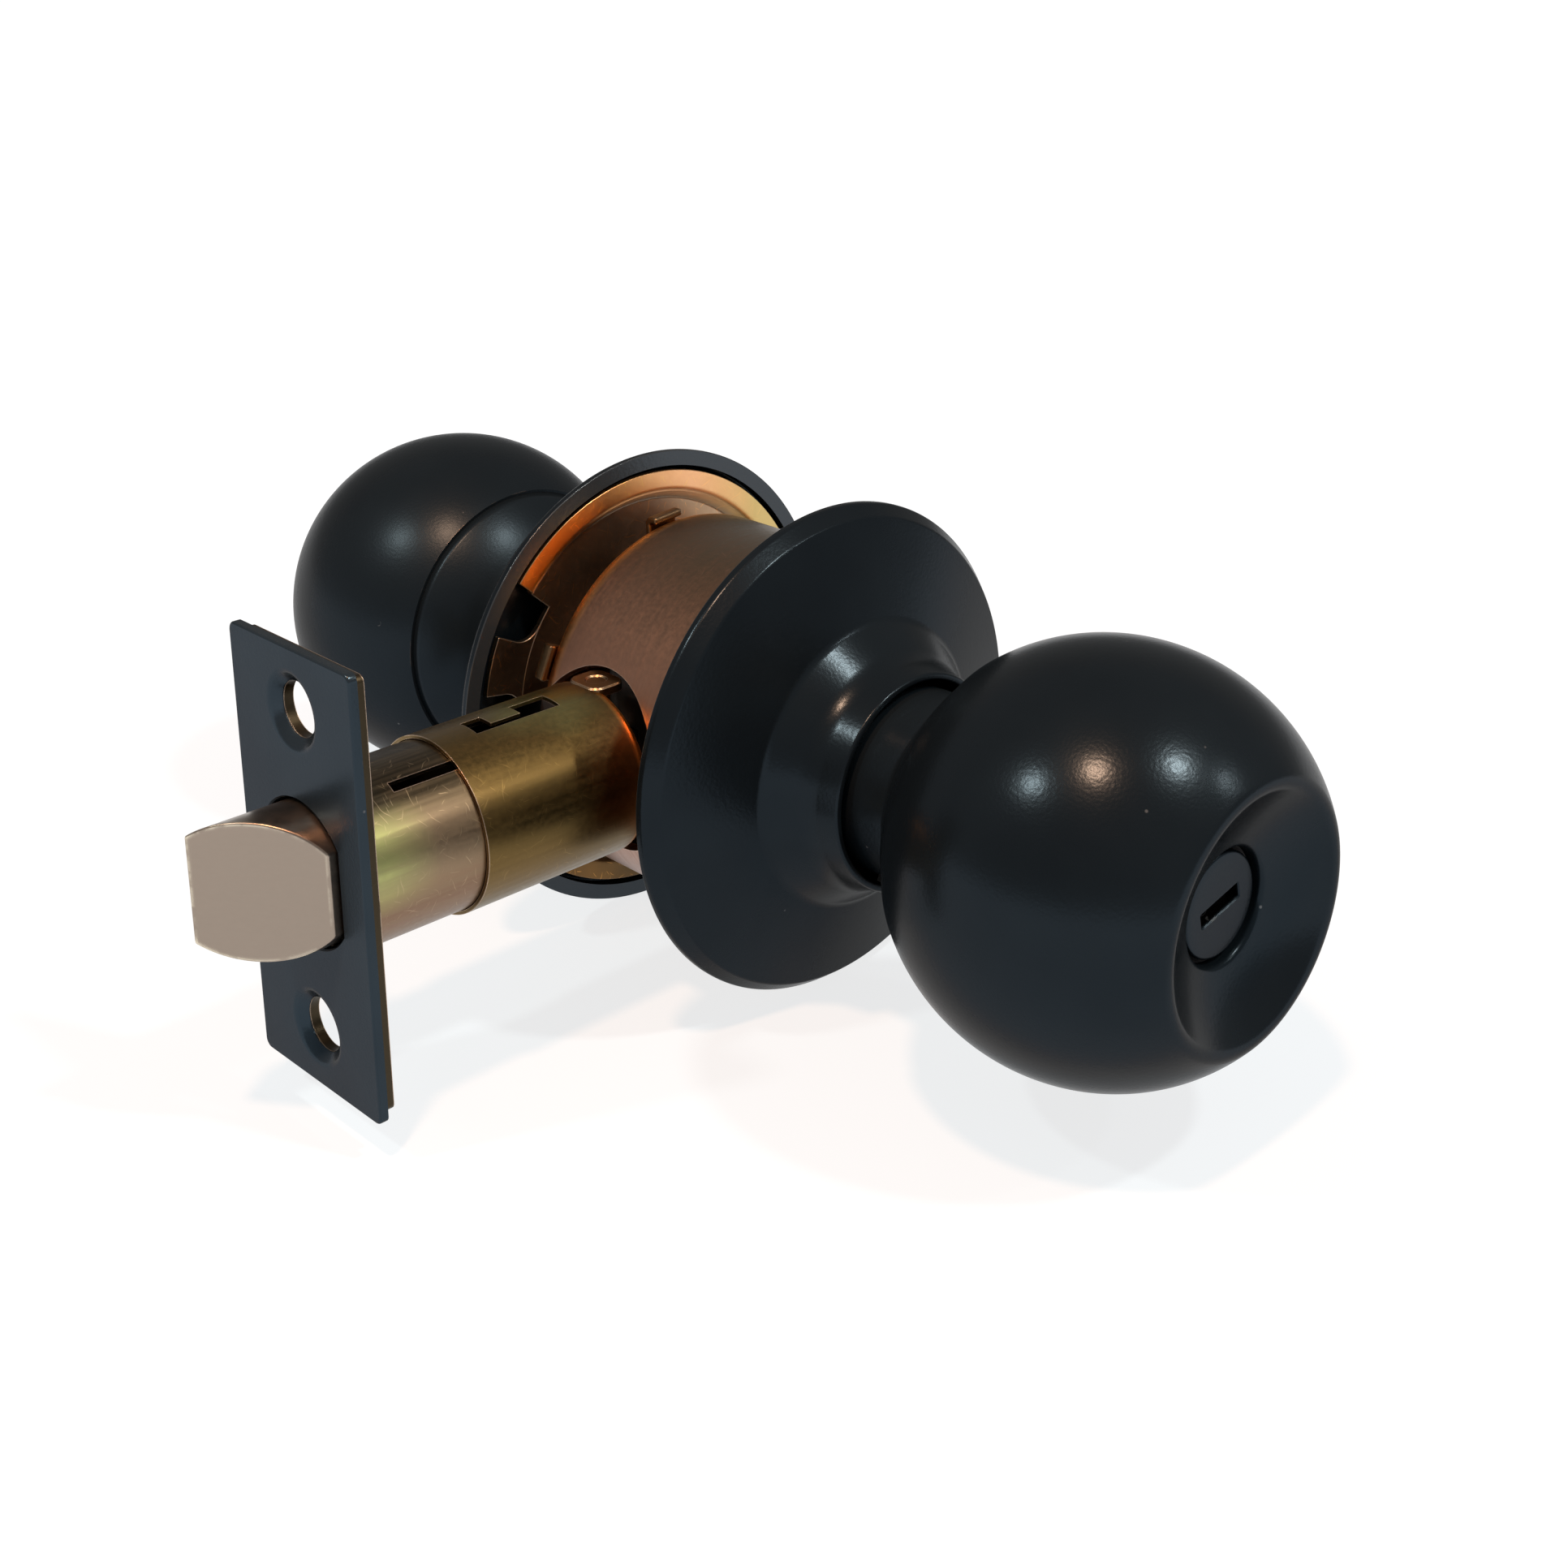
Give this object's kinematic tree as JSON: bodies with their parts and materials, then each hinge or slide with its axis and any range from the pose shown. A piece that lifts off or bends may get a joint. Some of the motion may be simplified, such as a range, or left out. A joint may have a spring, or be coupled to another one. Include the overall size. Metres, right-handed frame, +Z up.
{
  "type": "privacy knob set",
  "caption": "Cylindrical privacy knob set with ball knobs, round roses, a slotted outside release, an inside turn button and a bevelled spring latch.",
  "frame": {"origin": "where the knob axis crosses the latch axis, in the middle of the door's thickness", "axes": "+Y along the knob axis towards the inside knob, -X along the latch towards the door's edge, +Z up"},
  "size_m": [0.1155, 0.1762, 0.067],
  "materials": {
    "satin_black": "satin black coating with soft highlights",
    "yellow_zinc": "yellow chromated zinc with a pink and green sheen",
    "satin_nickel": "satin nickel, dark on its round sides",
    "plain_steel": "bright zinc plated steel",
    "cast_zinc": "plain die-cast zinc",
    "spring_steel": "drawn spring wire",
    "nylon": "plain black nylon"
  },
  "bodies": {
    "case": {"bolt_spring": "spring_steel", "faceplate_backing": "yellow_zinc", "housing": "yellow_zinc", "housing_bracket": "yellow_zinc", "inside_mounting_plate": "yellow_zinc", "inside_rose": "satin_black", "latch_faceplate": "satin_black", "latch_front_sleeve": "yellow_zinc", "latch_guide": "nylon", "latch_rear_tube": "yellow_zinc", "mounting_screws": "plain_steel", "outside_mounting_plate": "yellow_zinc", "outside_rose": "satin_black", "retractor_springs": "spring_steel", "spring_seat": "yellow_zinc"},
    "outside_knob": {"outside_knob_shell": "satin_black", "outside_knob_back": "satin_black", "outside_knob_insert": "nylon", "outside_spindle": "plain_steel", "outside_catch_spring": "spring_steel"},
    "inside_knob": {"inside_knob_shell": "satin_black", "inside_knob_back": "satin_black", "inside_knob_insert": "nylon", "inside_spindle": "plain_steel", "inside_catch_spring": "spring_steel"},
    "outside_catch": {"outside_knob_catch": "plain_steel"},
    "inside_catch": {"inside_knob_catch": "plain_steel"},
    "turn": {"turn_bar": "plain_steel", "lock_cam": "cast_zinc", "release_disc": "satin_black", "turn_button": "satin_black"},
    "retractor": {"retractor": "cast_zinc"},
    "bolt": {"latch_bolt": "satin_nickel", "latch_tail": "plain_steel", "latch_pin": "plain_steel"}
  },
  "joints": [
    {"name": "outside_knob_turn", "type": "hinge", "parent": "case", "child": "outside_knob", "pos_m": [0, 0, 0], "axis": [0, 1, 0], "range_deg": [0, 60], "stiffness_Nm_per_rad": 0.3},
    {"name": "retractor_slide", "type": "slide", "parent": "case", "child": "retractor", "axis": [1, 0, 0], "range_m": [0, 0.01213], "deforming": ["retractor_springs"]},
    {"name": "latch_bolt_slide", "type": "slide", "parent": "case", "child": "bolt", "axis": [1, 0, 0], "range_m": [0, 0.01213], "deforming": ["bolt_spring"]},
    {"name": "inside_knob_turn", "type": "hinge", "parent": "case", "child": "inside_knob", "pos_m": [0, 0, 0], "axis": [0, 1, 0], "range_deg": [-60, 60], "stiffness_Nm_per_rad": 0.3},
    {"name": "turn_button_turn", "type": "hinge", "parent": "case", "child": "turn", "pos_m": [0, 0, 0], "axis": [0, -1, 0], "range_deg": [-13, 77]},
    {"name": "outside_catch_press", "type": "slide", "parent": "outside_knob", "child": "outside_catch", "axis": [0.5, 0, 0.866], "range_m": [0, 0.0016], "stiffness_N_per_m": 1000, "deforming": ["outside_catch_spring"]},
    {"name": "inside_catch_press", "type": "slide", "parent": "inside_knob", "child": "inside_catch", "axis": [-0.5, 0, 0.866], "range_m": [0, 0.0016], "stiffness_N_per_m": 1000, "deforming": ["inside_catch_spring"]}
  ],
  "couplings": [
    {"joint": "retractor_slide", "follows": "outside_knob_turn", "m_per_rad": 0.01158},
    {"joint": "latch_bolt_slide", "follows": "outside_knob_turn", "m_per_rad": 0.01158}
  ]
}
